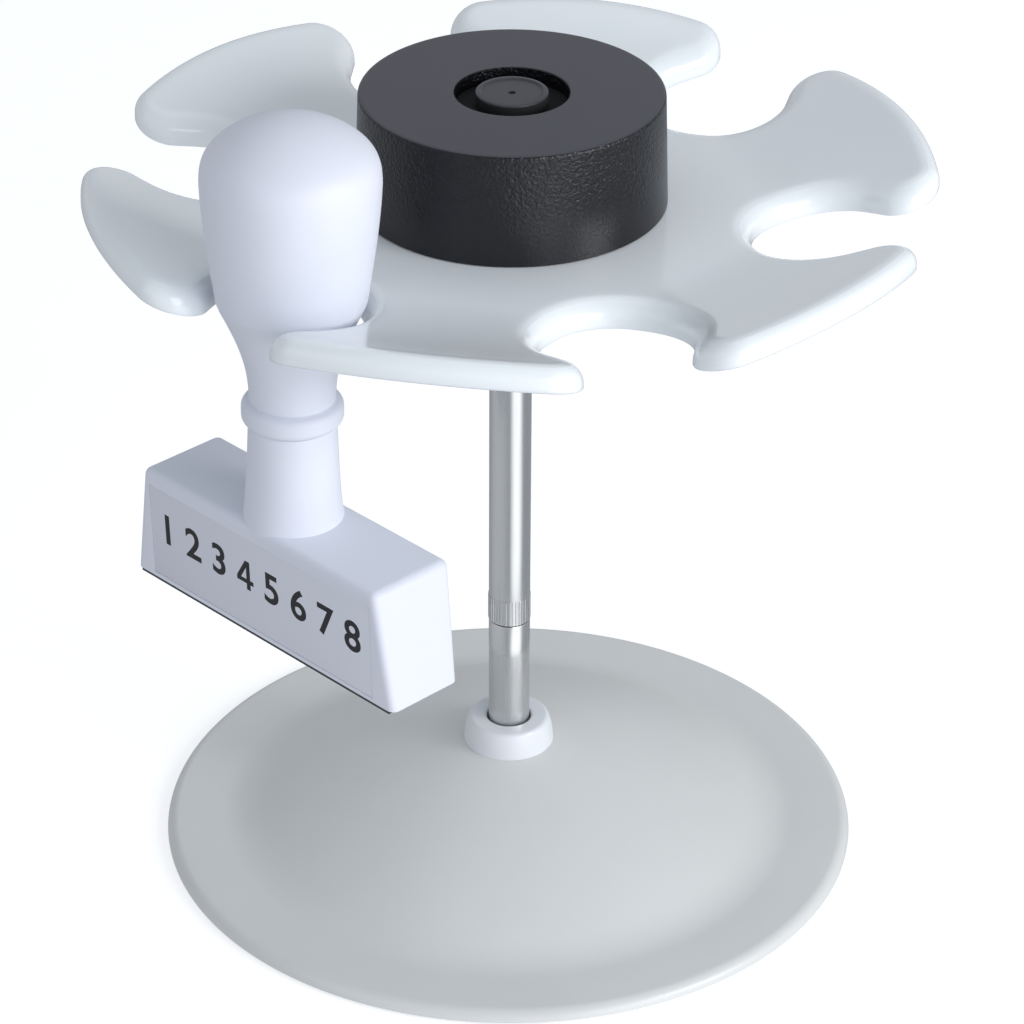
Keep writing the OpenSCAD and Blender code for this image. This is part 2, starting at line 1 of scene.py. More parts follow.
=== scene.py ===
"""Looks of a desk carousel for hand stamps: a domed foot, a steel rod, a dished slot plate
with a black hub, and one stamp that hangs in a slot. Metres, z up; the foot stands on z = 0."""
import math

import bmesh
import bpy
from mathutils import Matrix, Vector


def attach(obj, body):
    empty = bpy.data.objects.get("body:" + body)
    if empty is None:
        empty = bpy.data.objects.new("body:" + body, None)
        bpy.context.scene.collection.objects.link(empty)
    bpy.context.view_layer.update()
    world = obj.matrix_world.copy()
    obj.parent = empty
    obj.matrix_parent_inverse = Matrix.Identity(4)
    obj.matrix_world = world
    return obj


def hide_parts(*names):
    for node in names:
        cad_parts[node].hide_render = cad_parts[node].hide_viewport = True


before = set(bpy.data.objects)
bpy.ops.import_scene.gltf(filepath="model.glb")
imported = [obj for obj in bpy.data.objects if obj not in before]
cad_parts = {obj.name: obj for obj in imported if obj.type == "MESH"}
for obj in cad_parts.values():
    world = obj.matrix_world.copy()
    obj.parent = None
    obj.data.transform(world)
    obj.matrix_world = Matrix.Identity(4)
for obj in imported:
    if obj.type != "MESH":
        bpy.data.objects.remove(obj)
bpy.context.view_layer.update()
MM = 0.001

# ---------------------------------------------------------------- Camera
# A long lens a little above the desk's edge, looking down on the carousel from the front.
CAMERA_PLACE = (0, -0.65791, 0.45947)
CAMERA_DOWN = 30.593            # degrees below level
CAMERA_TILT = 0.2865            # degrees the picture turns
LENS_MM, SENSOR_MM = 140.79, 36
SHIFT_ACROSS = 0.00203          # of the picture's width

camera = bpy.data.objects.new("camera", bpy.data.cameras.new("camera"))
bpy.context.scene.collection.objects.link(camera)
camera.matrix_world = (
    Matrix.Translation(CAMERA_PLACE)
    @ Matrix.Rotation(math.radians(90 - CAMERA_DOWN), 4, "X")
    @ Matrix.Rotation(math.radians(CAMERA_TILT), 4, "Z")
)
camera.data.lens = LENS_MM
camera.data.sensor_width = SENSOR_MM
camera.data.shift_x = SHIFT_ACROSS
camera.data.clip_start = 0.01
bpy.context.scene.camera = camera
bpy.context.scene.view_settings.view_transform = "Standard"


# ---------------------------------------------------------------- Desk and lights
# A white desk that stays white in the picture, a pale room, and four soft boxes: two at the
# right and front, a weaker one at the left, and a weak one overhead. The desk lies a hair
# under the foot.
def linear(hex_colour):
    """sRGB hex to the linear colour that a shader takes."""
    parts = [int(hex_colour[i : i + 2], 16) / 255 for i in (1, 3, 5)]
    return [c / 12.92 if c <= 0.04045 else ((c + 0.055) / 1.055) ** 2.4 for c in parts] + [1.0]


def add_node(tree, kind, sockets=None, **settings):
    """Adds a shader node with its settings; a socket takes a value or a link."""
    made = tree.nodes.new("ShaderNode" + kind)
    for name, value in settings.items():
        setattr(made, name, value)
    for name, value in (sockets or {}).items():
        if isinstance(value, bpy.types.NodeSocket):
            tree.links.new(value, made.inputs[name])
        else:
            made.inputs[name].default_value = value
    return made


bpy.ops.object.select_all(action="DESELECT")
DESK_SIZE, DESK_UNDER = 8, 0.02         # metres, millimetres
bpy.ops.mesh.primitive_plane_add(size=DESK_SIZE, location=(0, 0, -DESK_UNDER * MM))
desk = bpy.context.object
desk.name = "desk"
desk_white = bpy.data.materials.new("desk_white_laminate")
desk_white.use_nodes = True
tree = desk_white.node_tree
tree.nodes.clear()
matt = add_node(tree, "BsdfDiffuse", {"Color": linear("#C8C9CB")})
glow = add_node(tree, "Emission", {"Color": linear("#FFFFFF"), "Strength": 0.62})
both = add_node(tree, "AddShader")
tree.links.new(matt.outputs[0], both.inputs[0])
tree.links.new(glow.outputs[0], both.inputs[1])
add_node(tree, "OutputMaterial", {"Surface": both.outputs[0]})
desk.data.materials.append(desk_white)
# the carousel neither mirrors the desk nor takes light from it
desk.visible_diffuse = desk.visible_glossy = False

room = bpy.data.worlds.new("room")
bpy.context.scene.world = room
room.use_nodes = True
tree = room.node_tree
way = add_node(tree, "TexCoord").outputs["Generated"]
height = add_node(tree, "SeparateXYZ", {"Vector": way})
fade = add_node(tree, "MapRange", {"Value": height.outputs["Z"], "From Min": -1.0, "From Max": 1.0})
walls = add_node(tree, "ValToRGB", {"Fac": fade.outputs["Result"]})
walls.color_ramp.elements[0].position, walls.color_ramp.elements[0].color = 0.0, linear("#AEB3BA")
walls.color_ramp.elements[1].position, walls.color_ramp.elements[1].color = 1.0, linear("#A3A8AF")
for position, colour in ((0.42, "#B6BBC2"), (0.52, "#D8DCE1"), (0.66, "#CACFD5")):
    walls.color_ramp.elements.new(position).color = linear(colour)
# a bright wall and floor at the right and front, that long highlights come from
toward = add_node(tree, "VectorMath", {0: way, 1: (0.56, -0.75, -0.35)}, operation="DOT_PRODUCT")
near = add_node(tree, "MapRange", {
    "Value": toward.outputs["Value"], "From Min": 0.80, "From Max": 0.98, "To Max": 1.25,
}, interpolation_type="SMOOTHSTEP")
glare = add_node(tree, "Background", {"Color": linear("#FFFFFF"), "Strength": near.outputs["Result"]})
with_glare = add_node(tree, "AddShader")
tree.links.new(tree.nodes["Background"].outputs[0], with_glare.inputs[0])
tree.links.new(glare.outputs[0], with_glare.inputs[1])
# a weaker pale wall and floor at the left, for the rod's left side
left_way = add_node(tree, "VectorMath", {0: way, 1: (-0.80, -0.35, -0.48)}, operation="DOT_PRODUCT")
left_near = add_node(tree, "MapRange", {
    "Value": left_way.outputs["Value"], "From Min": 0.5, "From Max": 1.0, "To Max": 0.20,
}, interpolation_type="SMOOTHSTEP")
left_glow = add_node(tree, "Background", {
    "Color": linear("#FFFFFF"), "Strength": left_near.outputs["Result"]})
with_left = add_node(tree, "AddShader")
tree.links.new(with_glare.outputs[0], with_left.inputs[0])
tree.links.new(left_glow.outputs[0], with_left.inputs[1])
tree.links.new(with_left.outputs[0], tree.nodes["World Output"].inputs["Surface"])
tree.links.new(walls.outputs["Color"], tree.nodes["Background"].inputs["Color"])
tree.nodes["Background"].inputs["Strength"].default_value = 0.85


def soft_box(name, place, size, watts, colour):
    """A square soft box, size in metres, that faces the rod 0.1 m above the desk."""
    light = bpy.data.objects.new(name, bpy.data.lights.new(name, "AREA"))
    light.data.size = size
    light.data.energy = watts
    light.data.color = linear(colour)[:3]
    light.matrix_world = Matrix.Translation(place) @ (
        (Vector(place) - Vector((0, 0, 0.1))).to_track_quat("Z", "Y").to_matrix().to_4x4()
    )
    bpy.context.scene.collection.objects.link(light)


soft_box("box_right", (1.08, -0.58, 0.62), 0.50, 7.5, "#FFFFFF")
soft_box("box_front", (0.75, -1.12, 0.55), 0.80, 6.0, "#EFF3FF")
soft_box("box_left", (-1.10, -0.55, 0.75), 0.90, 1.2, "#F6F8FF")
soft_box("box_top", (0.10, 0.25, 1.30), 0.90, 1.1, "#FBFDFF")


# ---------------------------------------------------------------- Foot
# A round domed foot, injection-moulded in pale grey ABS with a fine matt grain. Its flat
# band runs round the dome and ends in a rounded rim; it is hollow for the iron weight.
def moulded_plastic(name, colour, second, roughness, grain_mm, depth_mm, coat=0.0):
    """Injection-moulded plastic: an even colour with faint clouds, and a grain left by the mould."""
    material = bpy.data.materials.new(name)
    material.use_nodes = True
    tree = material.node_tree
    shader = tree.nodes["Principled BSDF"]
    place = add_node(tree, "TexCoord").outputs["Object"]
    clouds = add_node(tree, "TexNoise", {"Vector": place, "Scale": 1 / 0.035, "Detail": 3.0})
    tint = add_node(tree, "ValToRGB", {"Fac": clouds.outputs["Fac"]})
    tint.color_ramp.elements[0].position, tint.color_ramp.elements[0].color = 0.3, linear(colour)
    tint.color_ramp.elements[1].position, tint.color_ramp.elements[1].color = 0.7, linear(second)
    tree.links.new(tint.outputs["Color"], shader.inputs["Base Color"])
    grain = add_node(tree, "TexNoise", {"Vector": place, "Scale": 1 / (grain_mm * MM), "Detail": 2.0})
    shine = add_node(tree, "MapRange", {
        "Value": clouds.outputs["Fac"], "From Min": 0.3, "From Max": 0.7,
        "To Min": roughness * 0.9, "To Max": roughness * 1.1})
    tree.links.new(shine.outputs["Result"], shader.inputs["Roughness"])
    relief = add_node(tree, "Bump", {
        "Height": grain.outputs["Fac"], "Distance": depth_mm * MM, "Strength": 1.0})
    tree.links.new(relief.outputs["Normal"], shader.inputs["Normal"])
    shader.inputs["IOR"].default_value = 1.53
    shader.inputs["Coat Weight"].default_value = coat
    shader.inputs["Coat Roughness"].default_value = 0.08
    return material


def arc(x, y, r, start, stop, count):
    """Points on a circular arc, angles in degrees."""
    turns = [math.radians(start + (stop - start) * i / count) for i in range(count + 1)]
    return [(x + r * math.cos(a), y + r * math.sin(a)) for a in turns]


def turned(name, profile, steps=192, sharp=32):
    """Spins a closed profile of (radius, height) in millimetres round the upright axis."""
    bpy.ops.object.select_all(action="DESELECT")
    bpy.ops.mesh.primitive_plane_add(size=MM)
    piece = bpy.context.object
    piece.name = piece.data.name = name
    bpy.ops.object.mode_set(mode="EDIT")
    bpy.ops.mesh.select_mode(type="VERT")
    bpy.ops.mesh.select_all(action="SELECT")
    bpy.ops.mesh.merge(type="CENTER")
    r, z = profile[0]
    bpy.ops.transform.translate(value=(r * MM, 0, z * MM))
    for r2, z2 in profile[1:] + profile[:1]:
        step = ((r2 - r) * MM, 0, (z2 - z) * MM)
        bpy.ops.mesh.extrude_region_move(TRANSFORM_OT_translate={"value": step})
        r, z = r2, z2
    bpy.ops.mesh.select_all(action="SELECT")
    bpy.ops.mesh.remove_doubles(threshold=1e-6)
    bpy.ops.mesh.spin(steps=steps, angle=math.tau, center=(0, 0, 0), axis=(0, 0, 1))
    bpy.ops.mesh.select_all(action="SELECT")
    bpy.ops.mesh.remove_doubles(threshold=2e-6)
    bpy.ops.mesh.normals_make_consistent(inside=False)
    bpy.ops.object.mode_set(mode="OBJECT")
    bpy.ops.object.shade_smooth_by_angle(angle=math.radians(sharp))
    return piece


def fit(piece, material, body, slot, *nodes):
    """Gives a finished piece its material and the body it rides on, and hides the CAD nodes it stands for.
    """
    piece.data.materials.clear()
    piece.data.materials.append(material)
    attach(piece, body)
    if nodes:
        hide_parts(*nodes)
    return piece


BAND_Z, DOME_Z, BAND_IN, DOME_IN = 2.6, 19.2, 52.5, 9.2


def dome(t, drop=0.0):
    """Point of the dome's profile, from the band (t = 0) to the flat top (t = 1)."""
    return BAND_IN + (DOME_IN - BAND_IN) * t, BAND_Z + (DOME_Z - BAND_Z) * t + 6.8 * t * (1 - t) - drop


# the dome runs into the band in a wide hollow curve
soft_corner = [
    (48.17 + 8.92 * u - 0.49 * u * u, 4.872 - 4.544 * u + 2.272 * u * u)
    for u in [i / 12 for i in range(13)]
]
foot = turned(
    "foot",
    [(4.1, DOME_Z)]
    + [dome(1 - i / 30) for i in range(0, 27)]
    + soft_corner
    + arc(65.5, 0.3, 2.3, 90, 8, 12)
    + [(66.9, 0.4), (65.1, 0.4), (65.1, 1.0), (47.2, 1.0), (47.2, 2.5), (46.5, 2.5)]
    + [dome(i / 14, 2.4) for i in range(3, 15)]
    + [(8.0, 16.8), (8.0, 5.7), (4.1, 5.7)],
    steps=288,
)
# ABS with a fine matt spark-eroded grain: soft wide highlights. The real grain is about
# 0.1 mm, too fine to show, so it is drawn at 0.5 mm.
foot_grey = moulded_plastic("foot_matt_moulded_abs", "#DCDDDB", "#D8D9D7", 0.36, 0.5, 0.004)
fit(foot, foot_grey, "foot", "foot_plastic", "foot_shell")

# ---------------------------------------------------------------- Weight, cover, pad and screw
# Under the foot: a cast iron ring weight in the hollow, a pressed polypropylene cover that
# closes it, a rubber ring that grips the desk, and the screw and washer that hold the rod.


def dress(material, *nodes):
    """Gives CAD nodes that keep their shape their material."""
    for name in nodes:
        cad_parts[name].material_slots[0].material = material


# Grey cast iron, sand-cast and dip-painted: dark, coarse and dull.
iron = moulded_plastic("weight_cast_iron", "#4A4C50", "#3C3E42", 0.72, 1.2, 0.08)
iron.node_tree.nodes["Principled BSDF"].inputs["Metallic"].default_value = 0.35
dress(iron, "foot_weight")
# Pressed polypropylene sheet: grey, waxy, with a faint orange peel.
cover_grey = moulded_plastic("cover_pressed_polypropylene", "#8C8E92", "#86888D", 0.48, 1.6, 0.012)
dress(cover_grey, "foot_cover")
# Die-cut natural rubber: nearly black, dull, with a fine pitted skin.
pad_black = moulded_plastic("pad_die_cut_rubber", "#2B2B2D", "#252527", 0.82, 0.6, 0.03)
dress(pad_black, "foot_pad")


def drawn_steel(name, colour, roughness, line_mm, depth_mm, stretch):
    """Bare metal with fine lines from its making, drawn along z by a stretch above 1."""
    material = bpy.data.materials.new(name)
    material.use_nodes = True
    tree = material.node_tree
    shader = tree.nodes["Principled BSDF"]
    place = add_node(tree, "TexCoord").outputs["Object"]
    along = add_node(tree, "Mapping", {"Vector": place, "Scale": (1, 1, 1 / stretch)})
    lines = add_node(tree, "TexNoise", {
        "Vector": along.outputs["Vector"], "Scale": 1 / (line_mm * MM), "Detail": 3.0})
    shine = add_node(tree, "MapRange", {
        "Value": lines.outputs["Fac"], "From Min": 0.3, "From Max": 0.7,
        "To Min": roughness * 0.75, "To Max": roughness * 1.25})
    tree.links.new(shine.outputs["Result"], shader.inputs["Roughness"])
    relief = add_node(tree, "Bump", {"Height": lines.outputs["Fac"], "Distance": depth_mm * MM})
    tree.links.new(relief.outputs["Normal"], shader.inputs["Normal"])
    shader.inputs["Base Color"].default_value = linear(colour)
    shader.inputs["Metallic"].default_value = 1.0
    return material


# Zinc-plated steel, machine-made screws and washers: bright grey with a soft shine.
screw_steel = drawn_steel("screw_zinc_plated_steel", "#C4C5C6", 0.30, 0.5, 0.003, 1)
dress(screw_steel, "foot_screw", "foot_washer", "post_stud", "thrust_washer",
      "hub_screw_1", "hub_screw_2", "hub_screw_3", "stamp_stud")

# ---------------------------------------------------------------- Collar
# A white moulded ring round the rod where it leaves the dome. It is pushed over the rod and
# hides the hole in the foot; its top edge is softly rounded.
collar = turned(
    "collar",
    [(4.35, 24.2)]
    + arc(4.8, 24.05, 0.45, 120, 90, 2)
    + arc(7.0, 23.5, 1.0, 90, 20, 8)
    + [(8.2, 23.1), (8.42, 22.3), (8.6, 21.3), (8.7, 20.3), (8.76, 19.6), (8.8, 19.24), (4.35, 19.24)],
)
# ABS, finely polished mould: a white that takes a soft highlight.
collar_white = moulded_plastic("collar_white_abs", "#E4E6E9", "#E0E3E6", 0.30, 0.6, 0.002)
fit(collar, collar_white, "foot", "collar_plastic", "foot_collar")

# ---------------------------------------------------------------- Rod
# Two lengths of 8 mm bright drawn steel rod joined by a stud. The upper length starts with
# a straight-knurled band for tightening; the joint shows as a fine dark line under it.
ROD, SPLIT = 4.0, 46.9
rod_lower = turned(
    "rod_lower",
    [(0, 6.0), (3.5, 6.0), (ROD, 6.5)] + [(ROD, 6.5 + 40.1 * i / 6) for i in range(1, 7)]
    + [(ROD - 0.12, SPLIT - 0.05), (0, SPLIT - 0.05)],
    steps=128,
)
rod_upper = turned(
    "rod_upper",
    [(0, SPLIT + 0.1), (ROD - 0.15, SPLIT + 0.1), (ROD - 0.02, SPLIT + 0.25), (ROD - 0.02, 52.5),
     (ROD, 52.7)]
    + [(ROD, 52.7 + 77.0 * i / 8) for i in range(1, 9)]
    + [(ROD, 130.0), (3.3, 130.05), (3.3, 130.95), (ROD, 131.0), (ROD, 151.9), (3.3, 151.95), (3.3, 152.9),
       (ROD, 152.95), (ROD, 153.3), (3.5, 153.8), (0, 153.8)],
    steps=128,
)
bpy.ops.object.select_all(action="DESELECT")
KNURLS = 36
bpy.ops.mesh.primitive_cube_add(
    size=1, location=(ROD * MM, 0, (SPLIT + 2.95) * MM), scale=(0.3 * MM, 0.36 * MM, 5.3 * MM))
ridge = bpy.context.object
bpy.ops.object.transform_apply(location=True, rotation=True, scale=True)
bpy.ops.object.mode_set(mode="EDIT")
bpy.ops.mesh.select_all(action="SELECT")
bpy.ops.mesh.bevel(offset=0.08 * MM, segments=2, affect="EDGES")
bpy.ops.object.mode_set(mode="OBJECT")
ridges = [ridge]
for i in range(1, KNURLS):
    copy = ridge.copy()
    copy.data = ridge.data.copy()
    copy.data.transform(Matrix.Rotation(math.tau * i / KNURLS, 4, "Z"))
    bpy.context.scene.collection.objects.link(copy)
    ridges.append(copy)


def joined(first, others):
    """Joins the others into the first piece."""
    bpy.ops.object.select_all(action="DESELECT")
    for other in others:
        other.select_set(True)
    first.select_set(True)
    bpy.context.view_layer.objects.active = first
    bpy.ops.object.join()
    return first


rod_upper = joined(rod_upper, ridges)
# Bright drawn carbon steel, ground and nickel-plated: clear mirror streaks with faint
# lines along the rod. The lines are drawn at 0.6 mm, coarser than real, so that they show.
rod_steel = drawn_steel("rod_bright_drawn_steel", "#D2D3D3", 0.24, 0.6, 0.0012, 40)
fit(rod_lower, rod_steel, "foot", "rod_steel", "post_lower")
fit(rod_upper, rod_steel, "foot", "rod_steel", "post_upper")
# Spring steel clips, stamped and oil-blackened: dark with a greasy shine.
clip_steel = drawn_steel("clip_blackened_spring_steel", "#55565A", 0.36, 0.4, 0.003, 1)
dress(clip_steel, "rest_clip", "top_clip")

# ---------------------------------------------------------------- Slot plate
# The dished plate, injection-moulded in one piece of polished pale blue-grey ABS: six
# fingers that bend up like petals between key-shaped slots, and a deep rounded edge.
PLATE_R, PLATE_Z, EDGE_R, EDGE_DEEP, SHEET, WALL = 78.08, 137.2, 4.0, 5.1, 2.4, 2.2
POCKET_AT, POCKET_R, CORNER_R, NECK_HALF = 58.0, 13.5, 6.5, 10.1
PHASE = -12.0                           # degrees the slots are turned
BEND_AT, BEND_UP, BEND_POWER = 44.0, 6.7, 1.6


def petal_z(x):
    """Height of a finger's upper face at a distance along it, in millimetres."""
    if x <= BEND_AT:
        return PLATE_Z
    return PLATE_Z + BEND_UP * ((x - BEND_AT) / (PLATE_R - EDGE_R - BEND_AT)) ** BEND_POWER


def plate_side():
    """One side of a finger from the pocket round the corner to the rim, the finger along x.

    Each point is x, y and the direction that faces out of the plate."""
    mouth_y = NECK_HALF + CORNER_R
    mouth_x = math.sqrt((PLATE_R - CORNER_R) ** 2 - mouth_y**2)
    mouth = math.degrees(math.atan2(mouth_y, mouth_x))
    gap = math.hypot(mouth_x - POCKET_AT, mouth_y)
    neck = math.degrees(
        math.atan2(mouth_y, mouth_x - POCKET_AT) + math.acos(min(1, (POCKET_R + CORNER_R) / gap)))
    around = []
    for i in range(27):
        a = math.radians(180 + (neck - 180) * i / 26)
        out = (-math.cos(a), -math.sin(a))
        around.append((POCKET_AT + POCKET_R * math.cos(a), POCKET_R * math.sin(a), *out))
    for i in range(1, 25):
        a = math.radians(neck - 180 + (mouth - neck + 180) * i / 24)
        out = (math.cos(a), math.sin(a))
        around.append((mouth_x + CORNER_R * math.cos(a), mouth_y + CORNER_R * math.sin(a), *out))
    for i in range(1, 12):
        a = math.radians(mouth + (30 - mouth) * i / 11.5)
        around.append((PLATE_R * math.cos(a), PLATE_R * math.sin(a), math.cos(a), math.sin(a)))
    c, s = math.cos(math.radians(30)), -math.sin(math.radians(30))
    return [(x * c - y * s, x * s + y * c, u * c - v * s, u * s + v * c) for x, y, u, v in around]


side = plate_side()
SIDE = len(side)
EDGE = 2 * SIDE - 1                 # points that one finger adds to the plate's edge


def edge_place(i, inset, drop):
    """Point i of the plate's edge, moved in by inset and down by drop from the upper face."""
    finger, k = divmod(i, EDGE)
    mirrored = -1 if k >= SIDE else 1
    x, y, u, v = side[k if k < SIDE else EDGE - k]
    x, y = x - u * inset, mirrored * (y - v * inset)
    turn = Matrix.Rotation(math.radians(PHASE + 60 * finger + 30), 4, "Z")
    return turn @ (Vector((x, y, petal_z(x) - drop)) * MM)


rows = [(EDGE_R + 1.3, 0.0)]
rows += [(EDGE_R * (1 - math.sin(a)), EDGE_R * (1 - math.cos(a)))
         for a in [math.radians(9 * i) for i in range(11)]]
rows += [(0.0, EDGE_DEEP - 0.4), (0.12, EDGE_DEEP - 0.12), (0.4, EDGE_DEEP)]
rows += [(WALL - 0.3, EDGE_DEEP), (WALL, EDGE_DEEP - 0.3)]
rows += [(WALL + 1.8 * (1 - math.sin(a)), SHEET + 1.8 * (1 - math.cos(a)))
         for a in [math.radians(15 * i) for i in range(6, -1, -1)]]
rows += [(EDGE_R + 1.3, SHEET)]

count = 6 * EDGE
bpy.ops.object.select_all(action="DESELECT")
bpy.ops.mesh.primitive_circle_add(vertices=count, radius=0.05)
plate = bpy.context.object
plate.name = plate.data.name = "slot_plate_petals"
bpy.ops.object.mode_set(mode="EDIT")
bpy.ops.mesh.select_all(action="SELECT")
mesh = bmesh.from_edit_mesh(plate.data)
mesh.verts.ensure_lookup_table()
ring = list(mesh.verts)
for k, (inset, drop) in enumerate(rows):
    if k:
        was = {tuple(round(c, 8) for c in v.co): i for i, v in enumerate(ring)}
        bpy.ops.mesh.extrude_region_move()
        mesh = bmesh.from_edit_mesh(plate.data)
        ring = [None] * count
        for v in mesh.verts:
            if v.select:
                ring[was[tuple(round(c, 8) for c in v.co)]] = v
    for i, v in enumerate(ring):
        v.co = edge_place(i, inset, drop)
    if k == 0:
        first_ring = [v.co.copy() for v in ring]
last_ring = [v.co.copy() for v in ring]
bmesh.update_edit_mesh(plate.data)
bpy.ops.object.mode_set(mode="OBJECT")


def pick_edges(piece, chains):
    """Selects the edges that run along chains of places, and nothing else, in edit mode."""
    bpy.ops.mesh.select_mode(type="EDGE")
    bpy.ops.mesh.select_all(action="DESELECT")
    mesh = bmesh.from_edit_mesh(piece.data)
    found = {tuple(round(c, 7) for c in v.co): v for v in mesh.verts}
    for chain in chains:
        way = [found[tuple(round(c, 7) for c in place)] for place in chain]
        for a, b in zip(way, way[1:]):
            edge = mesh.edges.get((a, b))
            if edge:
                edge.select_set(True)
    bmesh.update_edit_mesh(piece.data)


ACROSS = 9                           # faces across a finger
BORE_R, ROOTS_WITHIN = 6.3, 0.046    # millimetres, metres
bpy.ops.object.mode_set(mode="EDIT")
for edge_line, height in ((first_ring, 0.0), (last_ring, SHEET)):
    for finger in range(6):
        start = finger * EDGE
        left = [edge_line[start + i] for i in range(SIDE)]
        right = [edge_line[(start + EDGE - i) % count] for i in range(SIDE)]
        pick_edges(plate, [left, right])
        bpy.ops.mesh.bridge_edge_loops(number_cuts=ACROSS - 1, interpolation="LINEAR")
    # The flat middle, between the fingers' roots and the bore for the bush. On the underside
    # the join comes out with a twist, and some of its faces run across the bore.
    bpy.ops.mesh.select_all(action="DESELECT")
    bpy.ops.mesh.primitive_circle_add(
        vertices=6 * ACROSS, radius=BORE_R * MM, location=(0, 0, (PLATE_Z - height) * MM))
    mesh = bmesh.from_edit_mesh(plate.data)
    for e in mesh.edges:
        level = all(abs(v.co.z - (PLATE_Z - height) * MM) < 1e-7 for v in e.verts)
        if e.is_boundary and level and all(v.co.xy.length < ROOTS_WITHIN for v in e.verts):
            e.select_set(True)
    bmesh.update_edit_mesh(plate.data)
    bpy.ops.mesh.bridge_edge_loops()
# the wall of the bore
bpy.ops.mesh.select_all(action="DESELECT")
mesh = bmesh.from_edit_mesh(plate.data)
for e in mesh.edges:
    if e.is_boundary and all(v.co.xy.length < 0.007 for v in e.verts):
        e.select_set(True)
bmesh.update_edit_mesh(plate.data)
bpy.ops.mesh.bridge_edge_loops()
bpy.ops.mesh.select_all(action="SELECT")
bpy.ops.mesh.normals_make_consistent(inside=False)
bpy.ops.object.mode_set(mode="OBJECT")
bpy.ops.object.shade_smooth_by_angle(angle=math.radians(40))

# Under the sheet: a boss for the lower bush, a rib along each finger and a ring that ties them.
boss = turned(
    "plate_boss",
    [(6.05, 131.9), (8.3, 131.9), (8.6, 132.2), (8.6, 136.7), (6.05, 136.7)],
    steps=96,
)
tie = turned(
    "plate_tie",
    [(32.0, 133.5), (32.2, 133.3), (33.4, 133.3), (33.6, 133.5), (33.6, 135.1), (32.0, 135.1)],
    steps=144,
)
bpy.ops.object.select_all(action="DESELECT")
RIB_Z = 134
bpy.ops.mesh.primitive_cube_add(
    size=1, location=(41.9 * MM, 0, RIB_Z * MM), scale=(68.6 * MM, 1.6 * MM, 2 * MM))
rib = bpy.context.object
bpy.ops.object.transform_apply(location=True, rotation=True, scale=True)
bpy.ops.object.mode_set(mode="EDIT")
for x in (44, 50, 56, 62, 68, 72, 74.5):
    bpy.ops.mesh.select_all(action="SELECT")
    bpy.ops.mesh.bisect(plane_co=(x * MM, 0, 0), plane_no=(1, 0, 0))
mesh = bmesh.from_edit_mesh(rib.data)
# each rib follows its finger upwards, and its top drops under the rounded rim
for v in mesh.verts:
    x = v.co.x / MM
    v.co.z = (petal_z(x) - (SHEET - 0.3 if v.co.z > RIB_Z * MM else EDGE_DEEP - 1.2)) * MM
    if x > 76 and v.co.z > (petal_z(x) - 3) * MM:
        v.co.z -= 1.4 * MM
low_edges = [e for e in mesh.edges if all(v.co.z < (petal_z(v.co.x / MM) - 3.5) * MM for v in e.verts)
             and abs(e.verts[0].co.y - e.verts[1].co.y) < 1e-6]
for e in mesh.edges:
    e.select_set(e in low_edges)
bmesh.update_edit_mesh(rib.data)
bpy.ops.mesh.bevel(offset=0.3 * MM, segments=3, affect="EDGES")
bpy.ops.object.mode_set(mode="OBJECT")
bpy.ops.object.shade_smooth_by_angle(angle=math.radians(40))
ribs = []
for finger in range(6):
    copy = rib.copy()
    copy.data = rib.data.copy()
    copy.data.transform(Matrix.Rotation(math.radians(PHASE + 30 + 60 * finger), 4, "Z"))
    bpy.context.scene.collection.objects.link(copy)
    ribs.append(copy)
bpy.data.objects.remove(rib)
plate = joined(plate, [boss, tie] + ribs)
# ABS from a polished mould: a glossy skin over a pale blue-grey, with the faint long waves
# that thick mouldings have when they cool.
plate_grey = moulded_plastic("plate_polished_abs", "#F1F5F7", "#EEF3F5", 0.17, 14.0, 0.02, coat=0.35)
fit(plate, plate_grey, "carousel", "plate_plastic", "slot_plate")

# ---------------------------------------------------------------- Hub
# The black hub that covers the upper bearing: moulded ABS with a leathery eroded grain on
# its side, and a flat top turned on a lathe.
hub = turned(
    "hub",
    [(25.9, 137.24), (28.2, 137.24), (28.5, 137.5), (27.82, 157.6)]
    + arc(27.2, 157.8, 0.6, 0, 90, 6)
    + [(26.6, 158.4), (18.0, 158.4), (10.7, 158.4), (10.45, 158.2), (10.45, 151.9), (6.1, 151.9),
       (6.1, 145.4), (12.8, 145.4), (12.8, 155.8), (23.7, 155.8), (25.2, 154.3)],
    steps=256,
)
# Black ABS: nearly black with a satin shine, with grains about 0.6 mm wide that catch the
# soft boxes.
HUB_TOP_FACE, GRAIN_WORN, GRAIN_DEEP = 158.3, 141, 151      # heights in millimetres
hub_black = moulded_plastic("hub_black_grained_abs", "#0C0C12", "#0A0A10", 0.32, 0.6, 0.30)
fit(hub, hub_black, "carousel", "hub_plastic", "hub_housing")
tree = hub_black.node_tree
shader = tree.nodes["Principled BSDF"]
shader.inputs["Specular IOR Level"].default_value = 0.42
place = add_node(tree, "TexCoord").outputs["Object"]
axes = add_node(tree, "SeparateXYZ", {"Vector": place})
flat_place = add_node(tree, "CombineXYZ", {"X": axes.outputs["X"], "Y": axes.outputs["Y"]})
radius = add_node(tree, "VectorMath", {"Vector": flat_place.outputs[0]}, operation="LENGTH")
